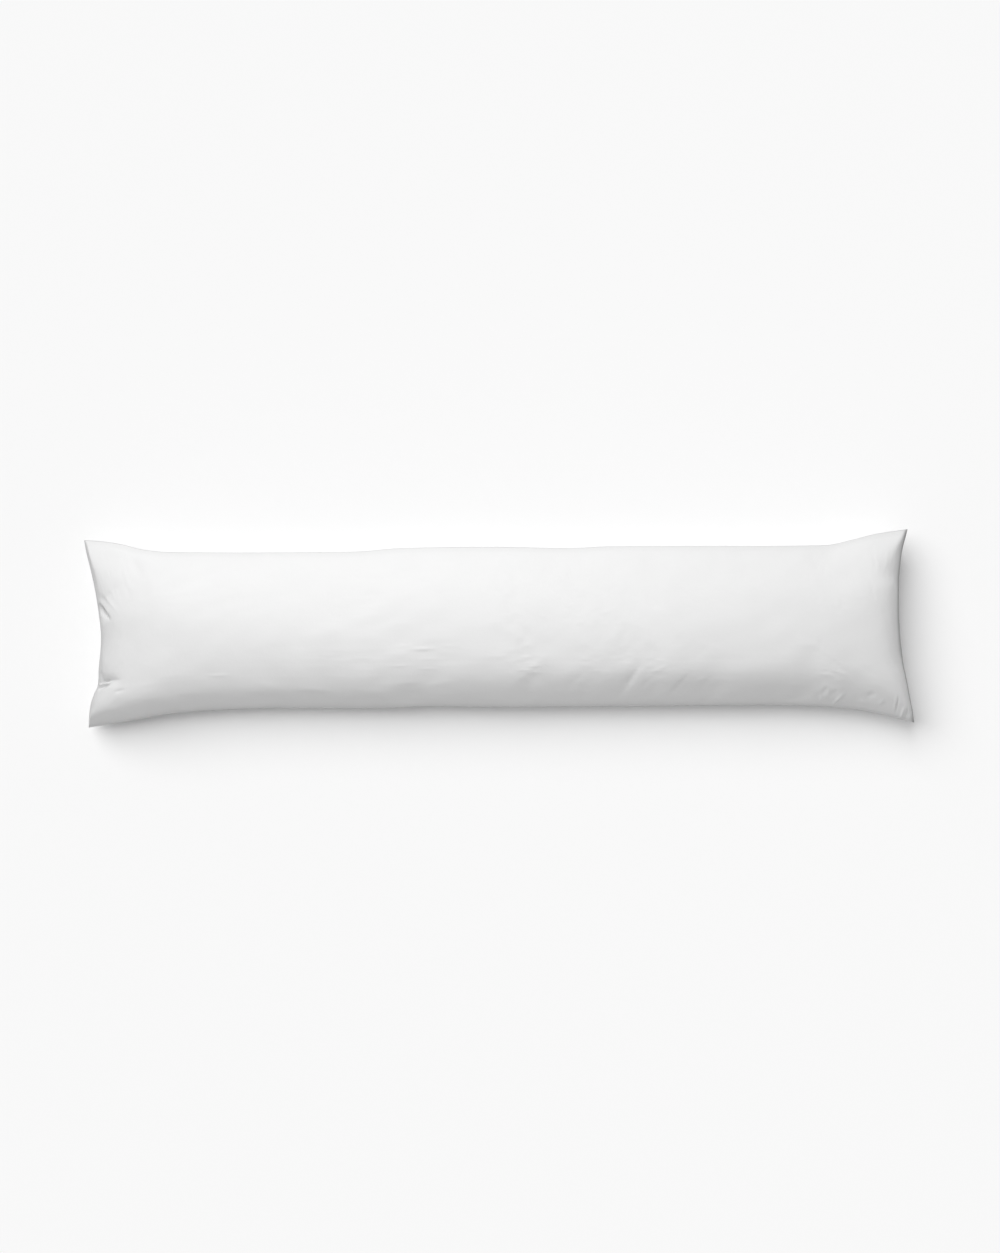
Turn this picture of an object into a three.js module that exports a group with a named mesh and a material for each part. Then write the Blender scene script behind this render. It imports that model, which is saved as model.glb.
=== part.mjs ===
// A long feather pillow insert lying on its back. Two white cotton panels are sewn face to face, turned right
// side out, filled with feathers, and closed by a short stitched run in the middle of the left end.
// Millimetres. X runs along the pillow, Y across it from the front edge to the back edge, Z up from the
// surface it lies on.
import * as THREE from "three";

const { clamp, degToRad, lerp, smoothstep } = THREE.MathUtils;

// Driving dimensions
const SEAM_LIP = 3; // sewn edge that stands out beyond the filling
const LIP_THICKNESS = 2; // the layers of cotton in the sewn edge
const LIP_DROOP = 8; // how far the outer rim of the sewn edge hangs
const BASE_ROUND = 64; // run over which the underside curves from the sewn edge to the flat base

// Corner tips of the sewn outline
const CORNERS = {
  leftFront: new THREE.Vector3(-752, -181, 36),
  leftBack: new THREE.Vector3(-756, 161, 58),
  rightFront: new THREE.Vector3(756, -171, 58),
  rightBack: new THREE.Vector3(742, 181, 64),
};

// How far each sewn edge is drawn in from the straight line between its two corners.
// at: share of the way along the edge, in: drawn-in distance
const FRONT_EDGE = [
  { at: 0, in: 0 },
  { at: 0.05, in: 12 },
  { at: 0.1, in: 25 },
  { at: 0.15, in: 31 },
  { at: 0.21, in: 34 },
  { at: 0.37, in: 33 },
  { at: 0.4, in: 35.5 },
  { at: 0.5, in: 33 },
  { at: 0.64, in: 33.5 },
  { at: 0.8, in: 34 },
  { at: 0.87, in: 32 },
  { at: 0.93, in: 24 },
  { at: 0.96, in: 15 },
  { at: 1, in: 0 },
];
const BACK_EDGE = [
  { at: 0, in: 0 },
  { at: 0.02, in: 2 },
  { at: 0.045, in: 8 },
  { at: 0.07, in: 18 },
  { at: 0.1, in: 24 },
  { at: 0.33, in: 28 },
  { at: 0.38, in: 22.5 },
  { at: 0.5, in: 22 },
  { at: 0.59, in: 26.5 },
  { at: 0.64, in: 24 },
  { at: 0.9, in: 27 },
  { at: 0.935, in: 17 },
  { at: 0.96, in: 8 },
  { at: 1, in: 0 },
];
const LEFT_EDGE = [
  { at: 0, in: 0 },
  { at: 0.06, in: 1 },
  { at: 0.13, in: 5 },
  { at: 0.19, in: 12.5 },
  { at: 0.225, in: 18 },
  { at: 0.32, in: 20.5 },
  { at: 0.48, in: 26 },
  { at: 0.64, in: 21.5 },
  { at: 0.77, in: 15 },
  { at: 0.86, in: 8.5 },
  { at: 0.93, in: 3 },
  { at: 1, in: 0 },
];
const RIGHT_EDGE = [
  { at: 0, in: 0 },
  { at: 0.06, in: 2 },
  { at: 0.12, in: 5.5 },
  { at: 0.21, in: 10 },
  { at: 0.31, in: 16 },
  { at: 0.5, in: 20.5 },
  { at: 0.74, in: 18 },
  { at: 0.83, in: 14 },
  { at: 0.89, in: 10.5 },
  { at: 0.955, in: 4 },
  { at: 1, in: 0 },
];

// Height of the seam line above the line between its corners.
// at: share of the way from the left end, lift: height
const SEAM_LIFT = [
  { at: 0, lift: 0 },
  { at: 0.03, lift: 5 },
  { at: 0.08, lift: 10 },
  { at: 0.2, lift: 9 },
  { at: 0.62, lift: 4 },
  { at: 1, lift: 0 },
];

// How steeply the filled upper panel rises from the sewn edge of a side or an end.
// run: distance from the sewn edge, tilt: degrees from level
const FRONT_LEFT_SLOPE = [
  { run: 0, tilt: 62 },
  { run: 15, tilt: 61 },
  { run: 21, tilt: 56 },
  { run: 29, tilt: 42 },
  { run: 40, tilt: 35 },
  { run: 56, tilt: 30 },
  { run: 72, tilt: 26 },
  { run: 90, tilt: 21 },
  { run: 110, tilt: 17 },
  { run: 135, tilt: 13 },
  { run: 165, tilt: 10 },
  { run: 400, tilt: 8 },
];
const FRONT_SLOPE = [
  { run: 0, tilt: 57 },
  { run: 14, tilt: 54 },
  { run: 24, tilt: 51 },
  { run: 36, tilt: 47 },
  { run: 46, tilt: 43 },
  { run: 56, tilt: 37 },
  { run: 66, tilt: 30 },
  { run: 78, tilt: 23 },
  { run: 90, tilt: 19 },
  { run: 110, tilt: 15 },
  { run: 135, tilt: 12 },
  { run: 165, tilt: 9 },
  { run: 400, tilt: 8 },
];
const FRONT_RIGHT_SLOPE = [
  { run: 0, tilt: 54 },
  { run: 11, tilt: 53 },
  { run: 22, tilt: 50 },
  { run: 33, tilt: 43 },
  { run: 47, tilt: 36 },
  { run: 66, tilt: 29 },
  { run: 84, tilt: 23 },
  { run: 102, tilt: 17 },
  { run: 135, tilt: 12 },
  { run: 400, tilt: 8 },
];
const BACK_SLOPE = [
  { run: 0, tilt: 60 },
  { run: 4, tilt: 52 },
  { run: 9, tilt: 44 },
  { run: 18, tilt: 38 },
  { run: 37, tilt: 34 },
  { run: 55, tilt: 30 },
  { run: 76, tilt: 26 },
  { run: 100, tilt: 22 },
  { run: 130, tilt: 17 },
  { run: 160, tilt: 13 },
  { run: 400, tilt: 10 },
];
const LEFT_SLOPE = [
  { run: 0, tilt: 82 },
  { run: 4, tilt: 78 },
  { run: 6, tilt: 62 },
  { run: 10, tilt: 51 },
  { run: 17, tilt: 42 },
  { run: 28, tilt: 34 },
  { run: 43, tilt: 25 },
  { run: 61, tilt: 16 },
  { run: 100, tilt: 13 },
  { run: 1600, tilt: 13 },
];
const LEFT_EAR_SLOPE = [
  { run: 0, tilt: 80 },
  { run: 3, tilt: 76 },
  { run: 6, tilt: 60 },
  { run: 10, tilt: 44 },
  { run: 16, tilt: 30 },
  { run: 24, tilt: 21 },
  { run: 36, tilt: 15 },
  { run: 60, tilt: 12 },
  { run: 100, tilt: 12 },
  { run: 1600, tilt: 14 },
];
const RIGHT_SLOPE = [
  { run: 0, tilt: 77 },
  { run: 5, tilt: 74 },
  { run: 9, tilt: 66 },
  { run: 14, tilt: 57 },
  { run: 20, tilt: 48 },
  { run: 31, tilt: 39 },
  { run: 43, tilt: 31 },
  { run: 61, tilt: 24 },
  { run: 91, tilt: 17 },
  { run: 180, tilt: 11 },
  { run: 1600, tilt: 8 },
];
const RIGHT_EAR_SLOPE = [
  { run: 0, tilt: 72 },
  { run: 5, tilt: 63 },
  { run: 9, tilt: 54 },
  { run: 14, tilt: 46 },
  { run: 20, tilt: 40 },
  { run: 31, tilt: 33 },
  { run: 43, tilt: 27 },
  { run: 61, tilt: 22 },
  { run: 91, tilt: 17 },
  { run: 180, tilt: 11 },
  { run: 1600, tilt: 8 },
];
const CROWN_ROUNDING = 4; // how tightly the front and back slopes meet along the crown
const LEFT_ROUNDING = 6; // how tightly the slope of the left end meets the crown
const RIGHT_ROUNDING = 4; // how tightly that of the right end does

// Shares of the pillow's length between which the front slope changes from its left form to its middle one,
// and from that to its right form
const LEFT_TO_MIDDLE = { from: 0.25, to: 0.65 };
const MIDDLE_TO_RIGHT = { from: 0.82, to: 0.95 };

// How full the back slope is. at: share of the way from the left end, share: of the full height
const BACK_FULLNESS = [
  { at: 0, share: 0.6 },
  { at: 0.04, share: 0.76 },
  { at: 0.1, share: 1 },
  { at: 1, share: 1 },
];

// The slope of each end gives way to that of its back ear.
// leftFrom, rightFrom: shares of the width where it starts to, blend: share over which it does,
// fan: growth of the blend for each millimetre from the end
const EARS = { leftFrom: 0.6, rightFrom: 0.7, blend: 0.05, fan: 0.0025 };

// Main folds in the upper panel: ridges where height is positive, troughs where it is negative.
// x, y: middle of the fold, heading: degrees from +X, length and width: to where the fold fades out
const FOLDS = [
  { x: -716, y: 31, heading: -46, length: 52, width: 13, height: -9 },
  { x: -704, y: 45, heading: -48, length: 64, width: 14, height: 4 },
  { x: -712, y: -93, heading: 10, length: 56, width: 20, height: -8 },
  { x: -718, y: -101, heading: -14, length: 36, width: 10, height: 4 },
  { x: -662, y: 118, heading: -64, length: 80, width: 26, height: -2 },
  { x: 52, y: -76, heading: 41, length: 130, width: 40, height: 3 },
  { x: 137, y: -92, heading: 45, length: 64, width: 24, height: -1.5 },
  { x: 226, y: -82, heading: 48, length: 84, width: 24, height: -5 },
  { x: 240, y: -95, heading: 48, length: 66, width: 16, height: 3 },
  { x: 328, y: -97, heading: 47, length: 74, width: 18, height: -3 },
  { x: 616, y: -122, heading: 45, length: 34, width: 12, height: 2.5 },
  { x: 716, y: -138, heading: 88, length: 44, width: 10, height: 3 },
  { x: 708, y: -134, heading: 86, length: 40, width: 10, height: -2 },
  { x: 733, y: -148, heading: 80, length: 38, width: 9, height: 2.5 },
];
const FOLD_FADE = 9; // run from the sewn edge over which a fold reaches its height
const FOLD_FALL = 2; // how fast it fades: exp(-FOLD_FALL) of its height is left at its length and width

// Spacing of the points along the pillow, from the left end, and across it, from the front edge: finer over
// the ends, the edges and the folds.
// to: share of the way, step: distance between points
const SPACING_ALONG = [
  { to: 0.012, step: 4.5 },
  { to: 0.05, step: 7 },
  { to: 0.11, step: 15 },
  { to: 0.52, step: 34 },
  { to: 0.74, step: 11 },
  { to: 0.89, step: 24 },
  { to: 0.94, step: 14 },
  { to: 1, step: 8 },
];
const SPACING_ACROSS = [
  { to: 0.03, step: 4 },
  { to: 0.12, step: 8 },
  { to: 0.42, step: 12 },
  { to: 0.85, step: 25 },
  { to: 0.97, step: 10 },
  { to: 1, step: 4 },
];

const LENGTH = CORNERS.rightFront.x - CORNERS.leftFront.x;
const WIDTH = CORNERS.rightBack.y - CORNERS.rightFront.y;

// A smooth curve through the rows of a table: the value of one of its columns at any place along it
function columnAt(rows, column, at) {
  const last = rows.length - 1;
  const slope = (k) => {
    const before = rows[Math.max(k - 1, 0)];
    const after = rows[Math.min(k + 1, last)];
    return (after[column] - before[column]) / (after.at - before.at);
  };
  let i = 0;
  while (i < last - 1 && rows[i + 1].at < at) i += 1;
  const span = rows[i + 1].at - rows[i].at;
  const t = (at - rows[i].at) / span;
  const start = rows[i][column];
  const rise = rows[i + 1][column] - start;
  const out = slope(i) * span;
  const back = slope(i + 1) * span;
  return start + out * t + (3 * rise - 2 * out - back) * t ** 2 + (out + back - 2 * rise) * t ** 3;
}

// One sewn edge: the line between two corners, drawn in along one direction
function sewnEdge(start, end, rows, inward, share) {
  return start.clone().lerp(end, share).addScaledVector(inward, columnAt(rows, "in", share));
}

const X = new THREE.Vector3(1, 0, 0);
const Y = new THREE.Vector3(0, 1, 0);
const { leftFront, leftBack, rightFront, rightBack } = CORNERS;
const frontEdge = (s) => sewnEdge(leftFront, rightFront, FRONT_EDGE, Y, s);
const backEdge = (s) => sewnEdge(leftBack, rightBack, BACK_EDGE, Y.clone().negate(), s);
const leftEdge = (t) => sewnEdge(leftFront, leftBack, LEFT_EDGE, X, t);
const rightEdge = (t) => sewnEdge(rightFront, rightBack, RIGHT_EDGE, X.clone().negate(), t);

// The surface stretched between the four sewn edges, s along the pillow and t across it
function seamSurface(s, t) {
  const alongEdges = frontEdge(s).lerp(backEdge(s), t);
  const acrossEdges = leftEdge(t).lerp(rightEdge(t), s);
  const corners = leftFront.clone().lerp(rightFront, s).lerp(leftBack.clone().lerp(rightBack, s), t);
  const point = alongEdges.add(acrossEdges).sub(corners);
  point.z += columnAt(SEAM_LIFT, "lift", s);
  return point;
}

const END_LIP_SHARE = SEAM_LIP / LENGTH;
const SIDE_LIP_SHARE = SEAM_LIP / WIDTH;

// Distances of a place from the sewn lips of the left end, the right end, the front and the back
function fromLips(s, t) {
  const { x, y } = seamSurface(s, t);
  const beyond = (distance) => Math.max(0, distance - SEAM_LIP);
  return {
    left: beyond(x - leftEdge(t).x),
    right: beyond(rightEdge(t).x - x),
    front: beyond(y - frontEdge(s).y),
    back: beyond(backEdge(s).y - y),
  };
}

// Height that a panel gains over a distance from its lip, its tilt turning evenly from row to row
function risen(rows, distance) {
  let height = 0;
  for (let i = 0; i + 1 < rows.length && rows[i].run < distance; i += 1) {
    const span = rows[i + 1].run - rows[i].run;
    const covered = Math.min(distance - rows[i].run, span);
    const start = degToRad(rows[i].tilt);
    const turn = degToRad(rows[i + 1].tilt - rows[i].tilt) / span;
    if (turn === 0) height += covered * Math.tan(start);
    else height += Math.log(Math.cos(start) / Math.cos(start + turn * covered)) / turn;
  }
  return height;
}

// The lower of two heights, rounded over where they are nearly equal
function roundedLowest(height, other, rounding) {
  const least = 0.001;
  return ((height + least) ** -rounding + (other + least) ** -rounding) ** (-1 / rounding);
}

// Height gained at a distance from an end, whose slope is different on its back ear
function endRise(slope, earSlope, pastEar, distance) {
  const onEar = smoothstep(pastEar, 0, EARS.blend + EARS.fan * distance);
  return lerp(risen(slope, distance), risen(earSlope, distance), onEar);
}

// A quarter round that leaves the seam upright: from 0 at the seam to 1 one run away from it
function quarterRound(distance, run) {
  const left = 1 - clamp(distance / run, 0, 1);
  return Math.sqrt(1 - left * left);
}

// Height that the folds add at a place on the upper panel
function foldHeight(point) {
  let sum = 0;
  for (const fold of FOLDS) {
    const heading = degToRad(fold.heading);
    const dx = point.x - fold.x;
    const dy = point.y - fold.y;
    const along = (2 * (dx * Math.cos(heading) + dy * Math.sin(heading))) / fold.length;
    const across = (2 * (dy * Math.cos(heading) - dx * Math.sin(heading))) / fold.width;
    sum += fold.height * Math.exp(-FOLD_FALL * (along ** 2 + across ** 2));
  }
  return sum;
}

function upperPanel(s, t) {
  const point = seamSurface(s, t);
  const { left, right, front, back } = fromLips(s, t);
  const toMiddle = smoothstep(s, LEFT_TO_MIDDLE.from, LEFT_TO_MIDDLE.to);
  const toRight = smoothstep(s, MIDDLE_TO_RIGHT.from, MIDDLE_TO_RIGHT.to);
  const leftToMiddle = lerp(risen(FRONT_LEFT_SLOPE, front), risen(FRONT_SLOPE, front), toMiddle);
  const frontRise = lerp(leftToMiddle, risen(FRONT_RIGHT_SLOPE, front), toRight);
  const backRise = risen(BACK_SLOPE, back) * columnAt(BACK_FULLNESS, "share", s);
  const leftRise = endRise(LEFT_SLOPE, LEFT_EAR_SLOPE, t - EARS.leftFrom, left);
  const rightRise = endRise(RIGHT_SLOPE, RIGHT_EAR_SLOPE, t - EARS.rightFrom, right);
  const crown = roundedLowest(frontRise, backRise, CROWN_ROUNDING);
  const withRight = roundedLowest(crown, rightRise, RIGHT_ROUNDING);
  const rise = roundedLowest(withRight, leftRise, LEFT_ROUNDING);
  const folds = foldHeight(point) * smoothstep(Math.min(left, right, front, back), 0, FOLD_FADE);
  point.z += LIP_THICKNESS / 2 + rise + folds;
  return point;
}

function lowerPanel(s, t) {
  const point = seamSurface(s, t);
  const { left, right, front, back } = fromLips(s, t);
  const pressedAcross = quarterRound(Math.min(front, back), BASE_ROUND);
  const pressedAlong = quarterRound(Math.min(left, right), BASE_ROUND);
  point.z = (point.z - LIP_THICKNESS / 2) * (1 - pressedAcross * pressedAlong);
  return point;
}

// The outer rim of the sewn edge, which hangs a little
function rim(s, t) {
  const point = seamSurface(s, t);
  point.z -= LIP_DROOP;
  return point;
}

// Shares of a length at which a table of spacings puts points
function stations(spacing, length) {
  const shares = [0];
  let from = 0;
  for (const { to, step } of spacing) {
    const steps = Math.max(1, Math.round(((to - from) * length) / step));
    for (let k = 1; k <= steps; k += 1) shares.push(from + ((to - from) * k) / steps);
    from = to;
  }
  return shares;
}

// The closed skin of the pillow: both panels on one grid, joined along the rim that they share
function pillowGeometry() {
  const filledAlong = stations(SPACING_ALONG, LENGTH);
  const filledAcross = stations(SPACING_ACROSS, WIDTH);
  const lastAlong = filledAlong.length + 1;
  const lastAcross = filledAcross.length + 1;
  const shareAlong = (i) => {
    if (i === 0) return 0;
    if (i === lastAlong) return 1;
    return lerp(END_LIP_SHARE, 1 - END_LIP_SHARE, filledAlong[i - 1]);
  };
  const shareAcross = (j) => {
    if (j === 0) return 0;
    if (j === lastAcross) return 1;
    return lerp(SIDE_LIP_SHARE, 1 - SIDE_LIP_SHARE, filledAcross[j - 1]);
  };

  const positions = [];
  const addPoint = (point) => {
    positions.push(point.x, point.y, point.z);
    return positions.length / 3 - 1;
  };
  const upper = [];
  const lower = [];
  for (let i = 0; i <= lastAlong; i += 1) {
    upper.push([]);
    lower.push([]);
    for (let j = 0; j <= lastAcross; j += 1) {
      const s = shareAlong(i);
      const t = shareAcross(j);
      const onRim = i === 0 || j === 0 || i === lastAlong || j === lastAcross;
      const index = addPoint(onRim ? rim(s, t) : upperPanel(s, t));
      upper[i].push(index);
      lower[i].push(onRim ? index : addPoint(lowerPanel(s, t)));
    }
  }

  // Each cell is split by the diagonal that runs towards the nearest corner.
  const triangles = [];
  for (let i = 0; i < lastAlong; i += 1) {
    for (let j = 0; j < lastAcross; j += 1) {
      const rising = i < lastAlong / 2 === j < lastAcross / 2;
      for (const [panel, isUpper] of [[upper, true], [lower, false]]) {
        const [a, b, c, d] = [panel[i][j], panel[i + 1][j], panel[i + 1][j + 1], panel[i][j + 1]];
        const pair = rising ? [[a, b, c], [a, c, d]] : [[a, b, d], [b, c, d]];
        for (const [p, q, r] of pair) triangles.push(...(isUpper ? [p, q, r] : [p, r, q]));
      }
    }
  }

  const geometry = new THREE.BufferGeometry();
  geometry.setAttribute("position", new THREE.Float32BufferAttribute(positions, 3));
  geometry.setIndex(triangles);
  geometry.computeVertexNormals();
  return geometry;
}

const cotton = new THREE.MeshStandardMaterial({ color: 0xf3f3f2, roughness: 0.85, metalness: 0 });

const pillow = new THREE.Mesh(pillowGeometry(), cotton);
pillow.name = "pillow";

const insert = new THREE.Group();
insert.add(pillow);

export default insert;
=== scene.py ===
"""A long feather pillow insert on its back: filled cotton shell, closing stitches, light and camera."""

import math
from collections import namedtuple

import bpy
import numpy as np
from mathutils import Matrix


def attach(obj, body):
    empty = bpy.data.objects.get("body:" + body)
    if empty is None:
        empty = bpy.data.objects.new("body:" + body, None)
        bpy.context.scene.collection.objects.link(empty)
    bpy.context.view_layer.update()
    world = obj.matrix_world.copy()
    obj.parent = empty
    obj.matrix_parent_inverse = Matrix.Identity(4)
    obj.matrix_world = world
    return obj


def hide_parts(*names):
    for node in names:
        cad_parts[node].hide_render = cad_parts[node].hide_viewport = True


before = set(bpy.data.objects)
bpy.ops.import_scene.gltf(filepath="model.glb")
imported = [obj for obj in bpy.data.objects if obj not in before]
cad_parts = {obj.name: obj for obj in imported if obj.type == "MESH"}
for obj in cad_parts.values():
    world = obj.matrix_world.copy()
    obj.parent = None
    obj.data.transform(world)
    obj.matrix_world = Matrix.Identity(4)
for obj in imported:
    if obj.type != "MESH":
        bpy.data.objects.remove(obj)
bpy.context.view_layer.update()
MM = 0.001

# Sewn edge: a flat lip that hangs a little, and less along the back, from a share of the way across
SEAM_LIP = 3 * MM
LIP_THICKNESS = 2 * MM
LIP_DROOP = 8 * MM
BACK_LIP_DROOP = 2 * MM
BACK_LIP_FROM = 0.9

# Run over which the underside rounds in from the seam to the flat base
BASE_ROUND = 64 * MM

# Corner tips of the sewn outline
LEFT_FRONT = np.array([-752, -181, 36]) * MM
LEFT_BACK = np.array([-756, 161, 58]) * MM
RIGHT_FRONT = np.array([756, -171, 58]) * MM
RIGHT_BACK = np.array([742, 181, 64]) * MM
LENGTH = RIGHT_FRONT[0] - LEFT_FRONT[0]
WIDTH = RIGHT_BACK[1] - RIGHT_FRONT[1]

# How far a sewn edge is drawn in, in millimetres, at a share of the way along it
Drawn = namedtuple("Drawn", "at inward")
FRONT_EDGE = [
    Drawn(0, 0), Drawn(0.05, 12), Drawn(0.1, 25), Drawn(0.15, 31), Drawn(0.21, 34),
    Drawn(0.37, 33), Drawn(0.4, 35.5), Drawn(0.5, 33), Drawn(0.64, 33.5), Drawn(0.8, 34),
    Drawn(0.87, 32), Drawn(0.93, 24), Drawn(0.96, 15), Drawn(1, 0),
]
BACK_EDGE = [
    Drawn(0, 0), Drawn(0.02, 2), Drawn(0.045, 8), Drawn(0.07, 18), Drawn(0.1, 24),
    Drawn(0.33, 28), Drawn(0.38, 22.5), Drawn(0.5, 22), Drawn(0.59, 26.5), Drawn(0.64, 24),
    Drawn(0.9, 27), Drawn(0.935, 17), Drawn(0.96, 8), Drawn(1, 0),
]
LEFT_EDGE = [
    Drawn(0, 0), Drawn(0.06, 1), Drawn(0.13, 5), Drawn(0.19, 12.5), Drawn(0.225, 18),
    Drawn(0.32, 20.5), Drawn(0.48, 26), Drawn(0.64, 21.5), Drawn(0.77, 15), Drawn(0.86, 8.5),
    Drawn(0.93, 3), Drawn(1, 0),
]
RIGHT_EDGE = [
    Drawn(0, 0), Drawn(0.06, 2), Drawn(0.12, 5.5), Drawn(0.21, 10), Drawn(0.31, 16),
    Drawn(0.5, 20.5), Drawn(0.74, 18), Drawn(0.83, 14), Drawn(0.89, 10.5), Drawn(0.955, 4),
    Drawn(1, 0),
]

# Seam height over the line between its corners, in millimetres, at a share of the way along the pillow
Lifted = namedtuple("Lifted", "at lift")
SEAM_LIFT = [
    Lifted(0, 0), Lifted(0.03, 5), Lifted(0.08, 10), Lifted(0.2, 9), Lifted(0.62, 4), Lifted(1, 0),
]

# Tilt of the upper panel, in degrees, at a distance in millimetres from the seam of a side or an end
Tilt = namedtuple("Tilt", "run angle")
FRONT_LEFT_TILTS = [
    Tilt(0, 62), Tilt(15, 61), Tilt(21, 56), Tilt(29, 42), Tilt(40, 35), Tilt(56, 30),
    Tilt(72, 26), Tilt(90, 21), Tilt(110, 17), Tilt(135, 13), Tilt(165, 10), Tilt(400, 8),
]
FRONT_TILTS = [
    Tilt(0, 57), Tilt(14, 54), Tilt(24, 51), Tilt(36, 47), Tilt(46, 43), Tilt(56, 37), Tilt(66, 30),
    Tilt(78, 23), Tilt(90, 19), Tilt(110, 15), Tilt(135, 12), Tilt(165, 9), Tilt(400, 8),
]
FRONT_RIGHT_TILTS = [
    Tilt(0, 54), Tilt(11, 53), Tilt(22, 50), Tilt(33, 43), Tilt(47, 36),
    Tilt(66, 29), Tilt(84, 23), Tilt(102, 17), Tilt(135, 12), Tilt(400, 8),
]
BACK_TILTS = [
    Tilt(0, 60), Tilt(4, 52), Tilt(9, 44), Tilt(18, 38), Tilt(37, 34), Tilt(55, 30),
    Tilt(76, 26), Tilt(100, 22), Tilt(130, 17), Tilt(160, 13), Tilt(400, 10),
]
LEFT_TILTS = [
    Tilt(0, 82), Tilt(4, 78), Tilt(6, 62), Tilt(10, 51), Tilt(17, 42),
    Tilt(28, 34), Tilt(43, 25), Tilt(61, 16), Tilt(100, 13), Tilt(1600, 13),
]
LEFT_EAR_TILTS = [
    Tilt(0, 80), Tilt(3, 76), Tilt(6, 60), Tilt(10, 44), Tilt(16, 30),
    Tilt(24, 21), Tilt(36, 15), Tilt(60, 12), Tilt(100, 12), Tilt(1600, 14),
]
RIGHT_TILTS = [
    Tilt(0, 77), Tilt(5, 74), Tilt(9, 66), Tilt(14, 57), Tilt(20, 48), Tilt(31, 39),
    Tilt(43, 31), Tilt(61, 24), Tilt(91, 17), Tilt(180, 11), Tilt(1600, 8),
]
RIGHT_EAR_TILTS = [
    Tilt(0, 72), Tilt(5, 63), Tilt(9, 54), Tilt(14, 46), Tilt(20, 40), Tilt(31, 33),
    Tilt(43, 27), Tilt(61, 22), Tilt(91, 17), Tilt(180, 11), Tilt(1600, 8),
]
TILT_SAMPLES = 2000

# How sharply two slopes meet: the sides at the crown, then each end with the sides
CROWN_ROUNDING = 4
LEFT_ROUNDING = 6
RIGHT_ROUNDING = 4

# Shares of the way along the pillow between which the front slope changes its form
LEFT_TO_MIDDLE = (0.25, 0.65)
MIDDLE_TO_RIGHT = (0.82, 0.95)

# How full the back slope is, at a share of the way along the pillow
Full = namedtuple("Full", "at share")
BACK_FULLNESS = [Full(0, 0.6), Full(0.04, 0.76), Full(0.1, 1), Full(1, 1)]

# The slope of an end gives way to that of its back ear from a share of the way across.
# The change takes EAR_BLEND of the width at the seam, and EAR_FAN more for each metre from the end.
LEFT_EAR_FROM = 0.6
RIGHT_EAR_FROM = 0.7
EAR_BLEND = 0.05
EAR_FAN = 2.5

# Unevenness of the filling: waver is a share of the distance from the front seam, lumps are heights
Uneven = namedtuple("Uneven", "wavelength height seed")
ROLL_WAVER = Uneven(70 * MM, 0.03, 2)
LUMPS = [Uneven(130 * MM, 0.45 * MM, 3), Uneven(45 * MM, 0.2 * MM, 4)]
WAVES = 40
WAVELENGTH_SPREAD = (0.7, 1.5)

# Distance in millimetres between grid points, up to a share of the way along the pillow and across it
Spacing = namedtuple("Spacing", "to step")
ALONG = [
    Spacing(0.007, 1.8), Spacing(0.032, 2.5), Spacing(0.05, 4), Spacing(0.08, 9), Spacing(0.5, 21),
    Spacing(0.55, 10), Spacing(0.75, 9), Spacing(0.8, 12), Spacing(0.885, 15), Spacing(0.925, 4),
    Spacing(0.96, 7.5), Spacing(0.99, 2.8), Spacing(1, 2.2),
]
ACROSS = [
    Spacing(0.15, 5.5), Spacing(0.2, 4.5), Spacing(0.285, 2.1), Spacing(0.34, 4), Spacing(0.4, 5),
    Spacing(0.5, 9), Spacing(0.555, 5), Spacing(0.69, 3.4), Spacing(0.75, 5), Spacing(1, 10),
]

# Painted shade near the fold of the seam: how much darker the cotton's colour is painted, on the left end,
# the right end, front and back
PAINTED_SEAM_SHADE = np.array([0.05, 0.45, 0.12, 0.04])
PAINTED_SEAM_SHADE_RUN = 3.2 * MM

# Settling: cotton a share longer than its form, held at the seam and pressed out by the feathers
SPARE_LENGTH = 0.002
PRESSURE = 0.6
CLOTH_SETTINGS = {
    "quality": 5, "mass": 0.0008,
    "tension_stiffness": 80, "compression_stiffness": 40, "shear_stiffness": 15, "bending_stiffness": 0.02,
    "tension_damping": 5, "compression_damping": 5, "shear_damping": 5, "air_damping": 2,
    "use_pressure": True, "uniform_pressure_force": PRESSURE, "shrink_min": -SPARE_LENGTH,
}
SETTLING_FRAMES = 20
GROUND_SIZE = 3
GROUND_GAP = 1 * MM

# What is kept of the settling: moves finer than some rounds of averaging, and no more than MOST_MOVE.
# What ends lower than BASE_GAP lies on the floor.
BROAD_ROUNDS = 15
MOST_MOVE = 2 * MM
BASE_GAP = 1.5 * MM

# Folds of the upper panel, in millimetres and degrees: ridges where height is positive, else troughs.
# left and right say how far a fold reaches to each side of its heading.
Fold = namedtuple("Fold", "x y heading length left right height")

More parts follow.
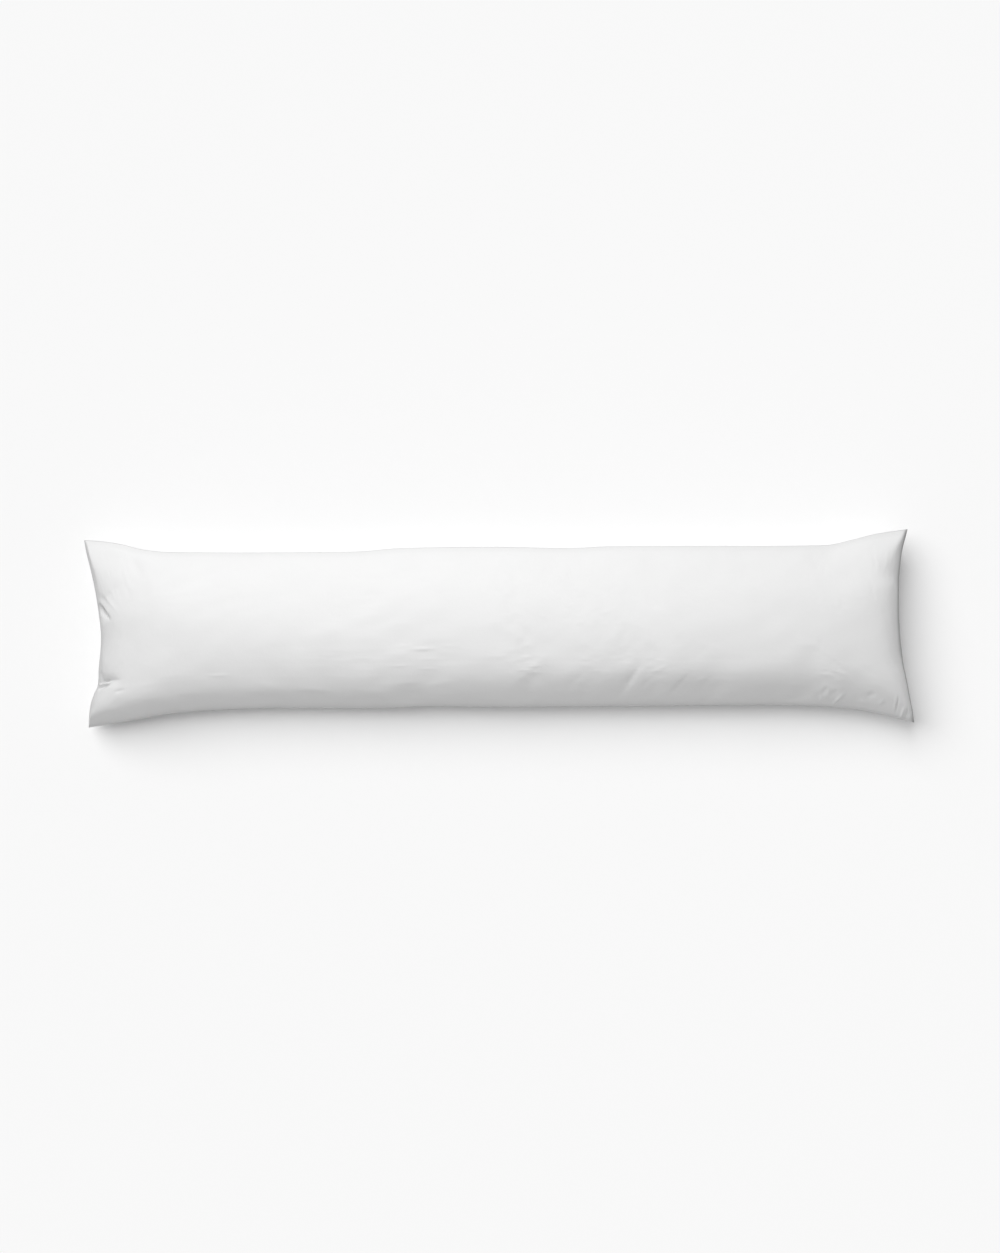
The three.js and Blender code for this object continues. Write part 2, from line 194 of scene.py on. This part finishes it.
# Soft folds
DENTS = [
    # Left end
    Fold(-662, 118, -64, 80, 14, 12, -3), Fold(-719, 54, -46, 30, 9, 9, -1.5),
    # Left half of the front slope
    Fold(-505, -84, 0, 40, 5, 4, 1), Fold(-414, -104, -25, 60, 12, 8, 1.2),
    Fold(-330, -111, -5, 60, 8, 6, 1.2), Fold(-214, -92, 75, 50, 12, 12, -1.4),
    Fold(-178, -67, 0, 24, 4, 3, 1), Fold(-127, -72, -8, 22, 4, 3, 1),
    Fold(-112, -100, 20, 50, 8, 6, 1.2), Fold(-170, -31, 15, 20, 4, 3, 0.8),
    Fold(-92, -31, 5, 20, 4, 3, 0.8), Fold(-137, -36, 0, 46, 4, 4, 1.8),
    # Right half of the front slope
    Fold(46, -51, 0, 28, 4, 3, 0.9), Fold(137, -92, 45, 64, 14, 10, -1.2),
    Fold(285, -73, 25, 42, 6, 6, 0.9), Fold(263, -100, 45, 28, 7, 7, -1.2),
    Fold(366, -90, 25, 30, 6, 6, 0.8), Fold(372, -100, 50, 48, 14, 9, -1),
    # Right front corner
    Fold(577, -124, 85, 24, 6, 6, -1.5), Fold(588, -112, 60, 20, 6, 6, -2),
    Fold(604, -117, 20, 28, 8, 8, -2), Fold(671, -120, 30, 22, 7, 7, -2.2),
    Fold(660, -133, -30, 20, 5, 5, 1.3), Fold(690, -133, 45, 22, 5, 5, 1.3),
]

# Folds whose two sides meet in a line
CREASES = [
    # Back pinch of the closing seam
    Fold(-718, 31, -47, 50, 8, 18, -11), Fold(-723, 37, -42, 28, 9, 9, -7),
    Fold(-704, 47, -49, 60, 9, 6, 1.2), Fold(-722, 22, -30, 26, 6, 7, 1),
    # Flattened strip of the closing seam
    Fold(-717, -58, 90, 96, 10, 40, 1.6),
    # Front pinch of the closing seam
    Fold(-724, -84, 85, 22, 4, 5, -2.5), Fold(-709, -94, 4, 58, 16, 14, -6),
    Fold(-712, -94, 6, 70, 44, 14, -2.5), Fold(-720, -97, 16, 30, 6, 3.5, -7),
    Fold(-719, -100.5, 22, 28, 3.5, 4, 4), Fold(-717, -104, 24, 34, 4, 7, -7),
    Fold(-686, -112, 14, 26, 5, 7, -2),
    # Slanting folds of the front slope
    Fold(52, -76, 41, 130, 60, 22, 2.4), Fold(238, -90, 60, 80, 20, 10, -3.2),
    Fold(322, -101, 50, 72, 6, 30, -2),
    # Right front corner
    Fold(614, -127, 50, 34, 5, 5, 3.2), Fold(716, -134, 88, 38, 4, 4, 1.2),
    Fold(720, -137, 88, 40, 3, 3, -2.6), Fold(731, -154, 82, 32, 5, 5, 3.2),
    Fold(739, -152, 88, 36, 3, 3, -2.6), Fold(746, -158, 80, 26, 4, 4, 2),
]

# Folds and lumps fade in over a run from the seam, folds also with the upward part of the normal,
# and lumps also with the height over the floor
FOLD_FADE = 3 * MM
FACING_UP = (0.1, 0.4)
OFF_FLOOR = (2 * MM, 20 * MM)

# Slip stitches that close the left end, in from its edge, between two shares of the way across
STITCHES_FROM = 0.29
STITCHES_TO = 0.57
STITCHES_IN = 12 * MM
STITCH_PITCH = 6 * MM
STITCH_LENGTH = 4.2 * MM
STITCH_WIDTH = 1 * MM
STITCH_HEIGHT = 0.7 * MM
STITCH_SINK = 0.2 * MM
STITCH_RINGS = 7
STITCH_SIDES = 8

# Height over the floor, in metres, from which the panel is looked for
RAY_HEIGHT = 1

# White cotton: its colours, the pitch of its threads, and the sizes of its wrinkles and clouding
PALE_COTTON = (0.805, 0.805, 0.805, 1)
DEEP_COTTON = (0.78, 0.78, 0.78, 1)
# Black that the painted shade near the seam mixes into the cotton
PAINTED_SHADE_BLACK = (0, 0, 0, 1)
THREAD_PITCH = 0.5 * MM
THREAD_HEIGHT = 0.06 * MM
THREAD_STRENGTH = 0.4
WRINKLE = 8 * MM
WRINKLE_HEIGHT = 0.4 * MM
WRINKLE_STRENGTH = 0.5
WRINKLE_DETAIL = 3
CLOUDING = 60 * MM
CLOUDING_DETAIL = 4
LEAST_ROUGHNESS = 0.84
MOST_ROUGHNESS = 0.96
SPECULAR = 0.2
SHEEN = 0.04
SHEEN_ROUGHNESS = 0.5

# A wave texture of scale 1 turns through this many radians in each metre
WAVE_TEXTURE_RADIANS = 20

# Floor, a little below the pillow
FLOOR_SIZE = 30
FLOOR_GAP = 0.2 * MM
FLOOR_WHITE = (0.9, 0.9, 0.9, 1)
FLOOR_ROUGHNESS = 0.9

# Light: an even surround, a softbox for the pillow and a distant lamp for the floor
WHITE = (1, 1, 1, 1)
SURROUND_STRENGTH = 0.4
SOFTBOX_SIZE = 1.8
SOFTBOX_WATTS = 54
SOFTBOX_PLACE = (-0.35, 1.22, 2.3)
DISTANT_SPREAD = math.radians(54)
DISTANT_STRENGTH = 2.58
DISTANT_FROM = (-0.54, 0.56, 1)

# Camera: over the middle of the photograph, whose pixels have their size at the height of the seam
PHOTO_HEIGHT_PIXELS = 1253
PIXEL = 1.82 * MM
PHOTO_MIDDLE = (0.9 * MM, 4.1 * MM)
SEAM_HEIGHT = 58 * MM
CAMERA_DISTANCE = 5.0
CAMERA_SENSOR = 36
CAMERA_CLIP_END = 50


def column_at(rows, column, at):
    """A smooth curve through the rows of a table: one column's value at each place in an array."""
    places = np.array([row.at for row in rows], float)
    values = np.array([getattr(row, column) for row in rows], float)
    ends = np.diff(values)[[0, -1]] / np.diff(places)[[0, -1]]
    between = (values[2:] - values[:-2]) / (places[2:] - places[:-2])
    slopes = np.concatenate([ends[:1], between, ends[1:]])
    i = np.clip(np.searchsorted(places, at, side="right") - 1, 0, len(rows) - 2)
    span = places[i + 1] - places[i]
    t = (at - places[i]) / span
    rise = values[i + 1] - values[i]
    out = slopes[i] * span
    back = slopes[i + 1] * span
    return values[i] + out * t + (3 * rise - 2 * out - back) * t**2 + (out + back - 2 * rise) * t**3


def smooth_step(value, low, high):
    t = np.clip((value - low) / (high - low), 0, 1)
    return t * t * (3 - 2 * t)


def mix(a, b, share):
    return a + (b - a) * share


def uneven(points, kind):
    """Smooth unevenness of one kind: waves of about its length, in many directions."""
    draw = np.random.default_rng(kind.seed)
    direction = draw.normal(size=(WAVES, 3))
    direction /= np.linalg.norm(direction, axis=1, keepdims=True)
    turns = 2 * math.pi / (kind.wavelength * draw.uniform(*WAVELENGTH_SPREAD, WAVES))
    phase = draw.uniform(0, 2 * math.pi, WAVES)
    waves = np.cos(points @ (direction * turns[:, None]).T + phase).sum(-1)
    return kind.height * (waves * math.sqrt(2 / WAVES))


def sewn_edge(start, end, rows, inward, share):
    """One sewn edge: the line between two corners, drawn in along one direction."""
    drawn = column_at(rows, "inward", share) * MM
    return mix(start, end, share[..., None]) + drawn[..., None] * np.array(inward)


def seam_surface(s, t):
    """The surface stretched between the four sewn edges, s along the pillow and t across it."""
    front = sewn_edge(LEFT_FRONT, RIGHT_FRONT, FRONT_EDGE, (0, 1, 0), s)
    back = sewn_edge(LEFT_BACK, RIGHT_BACK, BACK_EDGE, (0, -1, 0), s)
    left = sewn_edge(LEFT_FRONT, LEFT_BACK, LEFT_EDGE, (1, 0, 0), t)
    right = sewn_edge(RIGHT_FRONT, RIGHT_BACK, RIGHT_EDGE, (-1, 0, 0), t)
    along = s[..., None]
    across = t[..., None]
    corners = mix(mix(LEFT_FRONT, RIGHT_FRONT, along), mix(LEFT_BACK, RIGHT_BACK, along), across)
    points = mix(front, back, across) + mix(left, right, along) - corners
    points[..., 2] += column_at(SEAM_LIFT, "lift", s) * MM
    return points


def distances(s, t):
    """Distances from the sewn lips of the left end, the right end, the front and the back."""
    x, y, _ = np.moveaxis(seam_surface(s, t), -1, 0)
    zero = np.zeros_like(s)
    one = np.ones_like(s)
    left = x - seam_surface(zero, t)[..., 0]
    right = seam_surface(one, t)[..., 0] - x
    front = y - seam_surface(s, zero)[..., 1]
    back = seam_surface(s, one)[..., 1] - y
    return [np.maximum(distance - SEAM_LIP, 0) for distance in (left, right, front, back)]


def risen(rows, distance):
    """Height gained at each distance from a seam by a panel whose tilts a table gives."""
    run = np.linspace(0, rows[-1].run, TILT_SAMPLES)
    angle = np.interp(run, [row.run for row in rows], [row.angle for row in rows])
    steps = np.tan(np.radians(angle)) * (run[1] - run[0])
    height = np.concatenate([[0], np.cumsum((steps[1:] + steps[:-1]) / 2)])
    return np.interp(distance / MM, run, height) * MM


def front_rise(s, distance):
    """Height gained at a distance from the front, whose slope changes along the pillow."""
    to_middle = smooth_step(s, *LEFT_TO_MIDDLE)
    rise = mix(risen(FRONT_LEFT_TILTS, distance), risen(FRONT_TILTS, distance), to_middle)
    return mix(rise, risen(FRONT_RIGHT_TILTS, distance), smooth_step(s, *MIDDLE_TO_RIGHT))


def end_rise(tilts, ear_tilts, past_ear, distance):
    """Height gained at a distance from an end, whose slope is different on its back ear."""
    on_ear = smooth_step(past_ear, 0, EAR_BLEND + EAR_FAN * distance)
    return mix(risen(tilts, distance), risen(ear_tilts, distance), on_ear)


def rounded_lowest(height, other, rounding):
    """The lower of two heights, rounded over where they are nearly equal, less the higher rounding is."""
    least = 1e-6
    return ((height + least) ** -rounding + (other + least) ** -rounding) ** (-1 / rounding)


def quarter_round(distance, run):
    """A quarter circle's height, from 0 at no distance to 1 at the end of its run."""
    to_go = 1 - np.clip(distance / run, 0, 1)
    return np.sqrt(1 - to_go**2)


def filled_panels(s, t):
    """Both panels of the filled pillow, the lower one pressed flat by the weight."""
    upper = seam_surface(s, t)
    lower = upper.copy()
    left, right, front, back = distances(s, t)
    along_only = upper * np.array([1, 0, 0])
    rolled = front * (1 + uneven(along_only, ROLL_WAVER))
    back_rise = risen(BACK_TILTS, back) * column_at(BACK_FULLNESS, "share", s)
    rise = rounded_lowest(front_rise(s, rolled), back_rise, CROWN_ROUNDING)
    right_rise = end_rise(RIGHT_TILTS, RIGHT_EAR_TILTS, t - RIGHT_EAR_FROM, right)
    rise = rounded_lowest(rise, right_rise, RIGHT_ROUNDING)
    left_rise = end_rise(LEFT_TILTS, LEFT_EAR_TILTS, t - LEFT_EAR_FROM, left)
    rise = rounded_lowest(rise, left_rise, LEFT_ROUNDING)
    upper[..., 2] += LIP_THICKNESS / 2 + rise
    pressed = quarter_round(np.minimum(front, back), BASE_ROUND)
    pressed *= quarter_round(np.minimum(left, right), BASE_ROUND)
    lower[..., 2] = (lower[..., 2] - LIP_THICKNESS / 2) * (1 - pressed)
    return upper, lower


def stations(rows, length):
    """Shares of a length at which a table of spacings puts points."""
    shares = [np.zeros(1)]
    start = 0
    for row in rows:
        steps = max(1, round((row.to - start) * length / (row.step * MM)))
        shares.append(np.linspace(start, row.to, steps + 1)[1:])
        start = row.to
    return np.concatenate(shares)


def pillow_grid():
    """Shares along and across the pillow of every grid point: the rim, then from lip to lip."""
    shares = []
    for rows, length in ((ALONG, LENGTH), (ACROSS, WIDTH)):
        lip = SEAM_LIP / length
        shares.append(np.concatenate([[0], mix(lip, 1 - lip, stations(rows, length)), [1]]))
    return np.meshgrid(*shares, indexing="ij")


def border(shape, rows):
    """Which points of a grid lie in its outermost rows."""
    inside = np.zeros(shape, bool)
    inside[rows:-rows, rows:-rows] = True
    return ~inside


def on_both_panels(upper, lower, rim):
    """A value of every point of the upper panel, then of the lower panel's points off the shared rim."""
    return np.concatenate([upper.reshape(-1, *upper.shape[2:]), lower[~rim]])


def quads(index):
    corners = [index[:-1, :-1], index[1:, :-1], index[1:, 1:], index[:-1, 1:]]
    return np.stack(corners, -1).reshape(-1, 4)


def new_mesh(name, points, faces):
    mesh = bpy.data.meshes.new(name)
    mesh.from_pydata(points.tolist(), [], faces.tolist())
    mesh.update()
    return mesh


def new_object(name, data):
    made = bpy.data.objects.new(name, data)
    bpy.context.scene.collection.objects.link(made)
    return made


def edge_ends(mesh):
    ends = np.empty(len(mesh.edges) * 2, np.int32)
    mesh.edges.foreach_get("vertices", ends)
    return ends.reshape(-1, 2)


def vertex_vectors(mesh, kind):
    """The place ("co") or the normal ("normal") of every vertex."""
    flat = np.empty(len(mesh.vertices) * 3, np.float32)
    mesh.vertices.foreach_get(kind, flat)
    return flat.reshape(-1, 3).astype(float)


def move_vertices(mesh, points):
    mesh.vertices.foreach_set("co", points.astype(np.float32).ravel())
    mesh.update()


def add_values(mesh, name, domain, values):
    attribute = mesh.attributes.new(name, "FLOAT", domain)
    attribute.data.foreach_set("value", values.astype(np.float32))


def shell_mesh(name):
    """The closed shell on its grid, and which of its vertices the seam holds."""
    s, t = pillow_grid()
    rim = border(s.shape, 1)
    held = border(s.shape, 2)
    upper, lower = filled_panels(s, t)
    edge = seam_surface(s, t)
    edge[..., 2] -= mix(LIP_DROOP, BACK_LIP_DROOP, smooth_step(t, BACK_LIP_FROM, 1))
    upper[rim] = edge[rim]
    upper_index = np.arange(s.size).reshape(s.shape)
    lower_index = upper_index.copy()
    lower_index[~rim] = s.size + np.arange((~rim).sum())
    faces = np.concatenate([quads(upper_index), quads(lower_index)[:, ::-1]])
    mesh = new_mesh(name, on_both_panels(upper, lower, rim), faces)
    on_rim = on_both_panels(rim, rim, rim)
    add_values(mesh, "crease_edge", "EDGE", on_rim[edge_ends(mesh)].all(1))
    runs = np.stack(distances(s, t))
    seam_run = np.min(runs, axis=0)
    add_values(mesh, "seam_run", "POINT", on_both_panels(seam_run, seam_run, rim))
    # Painted shade: the cotton is painted darker close to the seam, most at the right end and along the
    # front edge
    painted_seam_shade = np.max(PAINTED_SEAM_SHADE[:, None, None] * np.exp(-runs / PAINTED_SEAM_SHADE_RUN), axis=0)
    add_values(mesh, "painted_seam_shade", "POINT", on_both_panels(painted_seam_shade, painted_seam_shade, rim))
    return mesh, on_both_panels(held, held, rim)


def settling_cloth(mesh, held):
    """A copy of the shell as cloth under pressure, held at some of its vertices."""
    piece = new_object("settling", mesh.copy())
    seam = piece.vertex_groups.new(name="seam")
    seam.add(np.flatnonzero(held).tolist(), 1, "REPLACE")
    cloth = piece.modifiers.new("cloth", "CLOTH")
    for setting, value in CLOTH_SETTINGS.items():
        setattr(cloth.settings, setting, value)
    cloth.settings.vertex_group_mass = seam.name
    cloth.settings.effector_weights.gravity = 0
    cloth.collision_settings.distance_min = GROUND_GAP
    cloth.point_cache.frame_start = 1
    cloth.point_cache.frame_end = SETTLING_FRAMES
    return piece


def settling_ground():
    """A floor that the settling cloth cannot pass."""
    bpy.ops.mesh.primitive_plane_add(size=GROUND_SIZE, location=(0, 0, -GROUND_GAP))
    ground = bpy.context.object
    ground.modifiers.new("collision", "COLLISION")
    ground.collision.thickness_outer = GROUND_GAP
    return ground


def broad_part(mesh, values):
    """The broad part of a value on the vertices: its average over a wide neighbourhood."""
    ends = edge_ends(mesh)
    ends = np.concatenate([ends, ends[:, ::-1]])
    neighbours = np.bincount(ends[:, 0], minlength=len(values))[:, None]
    for _ in range(BROAD_ROUNDS):
        around = [np.bincount(ends[:, 0], column[ends[:, 1]], len(values)) for column in values.T]
        values = (values + np.stack(around, 1) / neighbours) / 2
    return values


def settle(mesh, held):
    """Lets the cotton settle under pressure from inside, and keeps its creases, not its swelling."""
    points = vertex_vectors(mesh, "co")
    piece = settling_cloth(mesh, held)
    ground = settling_ground()
    for number in range(1, SETTLING_FRAMES + 1):
        bpy.context.scene.frame_set(number)
    graph = bpy.context.evaluated_depsgraph_get()
    move = vertex_vectors(piece.evaluated_get(graph).to_mesh(), "co") - points
    move -= broad_part(mesh, move)
    bpy.data.objects.remove(piece)
    bpy.data.objects.remove(ground)
    points += MOST_MOVE * np.tanh(move / MOST_MOVE)
    points[:, 2] = np.where(points[:, 2] < BASE_GAP, 0, points[:, 2])
    move_vertices(mesh, points)


def make_finer(piece):
    """Divides every face of a piece once, smoothly."""
    finer = piece.modifiers.new("finer", "SUBSURF")
    finer.levels = 1
    finer.render_levels = 1
    bpy.context.view_layer.objects.active = piece
    bpy.ops.object.modifier_apply(modifier="finer")


def soft_profile(across):
    return np.exp(-2 * across**2)


def sharp_profile(across):
    return np.clip(1 - np.abs(across), 0, 1) ** 2


def fold_height(points, folds, profile):
    """Height that a table of folds adds at each point of the upper panel."""
    total = np.zeros(len(points))
    for fold in folds:
        heading = math.radians(fold.heading)
        dx = points[:, 0] - fold.x * MM
        dy = points[:, 1] - fold.y * MM
        along = 2 * (dx * math.cos(heading) + dy * math.sin(heading)) / (fold.length * MM)
        across = (dy * math.cos(heading) - dx * math.sin(heading)) / MM
        across = across / np.where(across > 0, fold.left, fold.right)
        total += fold.height * MM * np.clip(1 - along**2, 0, 1) ** 2 * profile(across)
    return total


def add_relief(mesh):
    """Raises the lumps of the filling, and the folds of the upper panel over them."""
    points = vertex_vectors(mesh, "co")
    normals = vertex_vectors(mesh, "normal")
    seam_run = np.empty(len(points), np.float32)
    mesh.attributes["seam_run"].data.foreach_get("value", seam_run)
    clear = smooth_step(seam_run, 0, FOLD_FADE)
    off_floor = smooth_step(points[:, 2], *OFF_FLOOR)
    lumps = sum(uneven(points, lump) for lump in LUMPS)
    points += normals * (lumps * clear * off_floor)[:, None]
    faces_up = smooth_step(normals[:, 2], *FACING_UP)
    folds = fold_height(points, DENTS, soft_profile) + fold_height(points, CREASES, sharp_profile)
    points += normals * (folds * clear * faces_up)[:, None]
    points[:, 2] = np.maximum(points[:, 2], 0)
    move_vertices(mesh, points)


def pillow_piece():
    """The filled cotton shell with its creases, lumps and folds."""
    mesh, held = shell_mesh("pillow_shell")
    settle(mesh, held)
    piece = new_object("pillow_shell", mesh)
    make_finer(piece)
    add_relief(piece.data)
    piece.data.shade_smooth()
    return piece


def on_shell(shell, point):
    """The place on the upper panel straight below or above a point, and the panel's normal there."""
    _, place, normal, _ = shell.ray_cast((point[0], point[1], RAY_HEIGHT), (0, 0, -1))
    return np.array(place), np.array(normal)


def stitch_grain():
    """Points and faces of a ball of radius 1 about the origin, with its poles on the X axis."""
    turn = np.linspace(0, math.pi, STITCH_RINGS)
    spin = np.linspace(0, 2 * math.pi, STITCH_SIDES, endpoint=False)
    turn, spin = np.meshgrid(turn, spin, indexing="ij")
    points = np.stack([np.cos(turn), np.sin(turn) * np.cos(spin), np.sin(turn) * np.sin(spin)], -1)
    index = np.arange(turn.size).reshape(turn.shape)
    return points.reshape(-1, 3), quads(np.concatenate([index, index[:, :1]], 1))


def stitches_piece(shell):
    """Stitches as flat grains of thread that lie on the panel along the closing seam."""
    grain, grain_faces = stitch_grain()
    grain *= np.array([STITCH_LENGTH, STITCH_WIDTH, STITCH_HEIGHT]) / 2
    across = np.arange(STITCHES_FROM, STITCHES_TO, STITCH_PITCH / WIDTH)
    places = seam_surface(np.zeros_like(across), across)
    places[:, 0] += STITCHES_IN
    points = []
    faces = []
    for start, end in zip(places[:-1], places[1:]):
        first, normal = on_shell(shell, start)
        second, _ = on_shell(shell, end)
        heading = (second - first) / np.linalg.norm(second - first)
        side = np.cross(normal, heading)
        middle = (first + second) / 2 + normal * (STITCH_HEIGHT / 2 - STITCH_SINK)
        faces.append(grain_faces + len(points) * len(grain))
        points.append(middle + grain @ np.stack([heading, side, normal]))
    mesh = new_mesh("closing_stitches", np.concatenate(points), np.concatenate(faces))
    mesh.shade_smooth()
    return new_object("closing_stitches", mesh)


def set_inputs(material, node, inputs):
    """Gives each named input of a node a constant, or joins it to an output."""
    for name, value in inputs.items():
        if isinstance(value, bpy.types.NodeSocket):
            material.node_tree.links.new(value, node.inputs[name])
        else:
            node.inputs[name].default_value = value


def added_node(material, kind, inputs):
    node = material.node_tree.nodes.new(kind)
    set_inputs(material, node, inputs)
    return node


def new_material(name):
    """A material with nodes, and its shader."""
    material = bpy.data.materials.new(name)
    material.use_nodes = True
    return material, material.node_tree.nodes["Principled BSDF"]


def cotton_colour(material, clouds):
    """Pale and deep cotton in soft clouds, with shade painted darker near the seam."""
    cloudy = added_node(material, "ShaderNodeMixRGB", {
        "Fac": clouds, "Color1": DEEP_COTTON, "Color2": PALE_COTTON,
    })
    seam = added_node(material, "ShaderNodeAttribute", {})
    seam.attribute_name = "painted_seam_shade"
    # Painted shade: mixes the cotton towards black where the seam attribute says so
    with_painted_shade = added_node(material, "ShaderNodeMixRGB", {
        "Fac": seam.outputs["Fac"], "Color1": cloudy.outputs["Color"], "Color2": PAINTED_SHADE_BLACK,
    })
    return with_painted_shade.outputs["Color"]


def cotton_relief(material, place):
    """Fine wrinkles, and over them threads that cross at the pitch of the weave."""
    wrinkles = added_node(material, "ShaderNodeTexNoise", {
        "Vector": place, "Scale": 1 / WRINKLE, "Detail": WRINKLE_DETAIL,
    })
    bump = added_node(material, "ShaderNodeBump", {
        "Height": wrinkles.outputs["Fac"], "Strength": WRINKLE_STRENGTH, "Distance": WRINKLE_HEIGHT,
    })
    thread_scale = 2 * math.pi / (WAVE_TEXTURE_RADIANS * THREAD_PITCH)
    for direction in ("X", "Y"):
        threads = added_node(material, "ShaderNodeTexWave", {"Vector": place, "Scale": thread_scale})
        threads.bands_direction = direction
        bump = added_node(material, "ShaderNodeBump", {
            "Height": threads.outputs["Fac"], "Normal": bump.outputs["Normal"],
            "Strength": THREAD_STRENGTH, "Distance": THREAD_HEIGHT,
        })
    return bump.outputs["Normal"]


def cotton():
    """White, close-woven cotton with fine wrinkles and a faint sheen."""
    material, shader = new_material("white_cotton")
    place = added_node(material, "ShaderNodeTexCoord", {}).outputs["Object"]
    clouds = added_node(material, "ShaderNodeTexNoise", {
        "Vector": place, "Scale": 1 / CLOUDING, "Detail": CLOUDING_DETAIL,
    }).outputs["Fac"]
    roughness = added_node(material, "ShaderNodeMapRange", {
        "Value": clouds, "To Min": LEAST_ROUGHNESS, "To Max": MOST_ROUGHNESS,
    })
    set_inputs(material, shader, {
        "Base Color": cotton_colour(material, clouds),
        "Roughness": roughness.outputs["Result"],
        "Normal": cotton_relief(material, place),
        "Specular IOR Level": SPECULAR,
        "Sheen Weight": SHEEN,
        "Sheen Roughness": SHEEN_ROUGHNESS,
    })
    return material


def pale_floor():
    bpy.ops.mesh.primitive_plane_add(size=FLOOR_SIZE, location=(0, 0, -FLOOR_GAP))
    floor = bpy.context.object
    floor.name = "floor"
    material, shader = new_material("floor_white")
    set_inputs(material, shader, {
        "Base Color": FLOOR_WHITE, "Roughness": FLOOR_ROUGHNESS, "Specular IOR Level": 0,
    })
    floor.data.materials.append(material)
    return floor


def soft_surround():
    world = bpy.data.worlds.new("soft_surround")
    bpy.context.scene.world = world
    world.use_nodes = True
    background = world.node_tree.nodes["Background"]
    background.inputs["Color"].default_value = WHITE
    background.inputs["Strength"].default_value = SURROUND_STRENGTH


def lamp_for(receivers, light, location):
    """A lamp that looks at the origin and lights only the given objects."""
    lamp = new_object(light.name, light)
    lamp.location = location
    lamp.rotation_euler = (-lamp.location).to_track_quat("-Z", "Y").to_euler()
    lamp.visible_camera = False
    lit = bpy.data.collections.new("lit_by_" + light.name)
    for receiver in receivers:
        lit.objects.link(receiver)
    lamp.light_linking.receiver_collection = lit


def studio_light(pieces, floor):
    """A near softbox behind the pillow's left half, and a distant lamp that keeps the floor pale."""
    soft_surround()
    softbox = bpy.data.lights.new("softbox", "AREA")
    softbox.shape = "SQUARE"
    softbox.size = SOFTBOX_SIZE
    softbox.energy = SOFTBOX_WATTS
    lamp_for(pieces, softbox, SOFTBOX_PLACE)
    distant = bpy.data.lights.new("distant", "SUN")
    distant.angle = DISTANT_SPREAD
    distant.energy = DISTANT_STRENGTH
    lamp_for([floor], distant, DISTANT_FROM)


def photo_camera():
    """Looks straight down, with the photograph's framing."""
    camera = bpy.data.cameras.new("camera")
    camera.sensor_width = CAMERA_SENSOR
    camera.lens = CAMERA_SENSOR * CAMERA_DISTANCE / (PHOTO_HEIGHT_PIXELS * PIXEL)
    camera.clip_end = CAMERA_CLIP_END
    holder = new_object("camera", camera)
    holder.location = (*PHOTO_MIDDLE, SEAM_HEIGHT + CAMERA_DISTANCE)
    bpy.context.scene.camera = holder


photo_camera()
white_cotton = cotton()
pillow = pillow_piece()
pillow.data.materials.append(white_cotton)
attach(pillow, "root")
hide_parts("pillow")
stitches = stitches_piece(pillow)
stitches.data.materials.append(white_cotton)
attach(stitches, "root")
studio_light([pillow, stitches], pale_floor())
bpy.context.scene.view_settings.view_transform = "Standard"
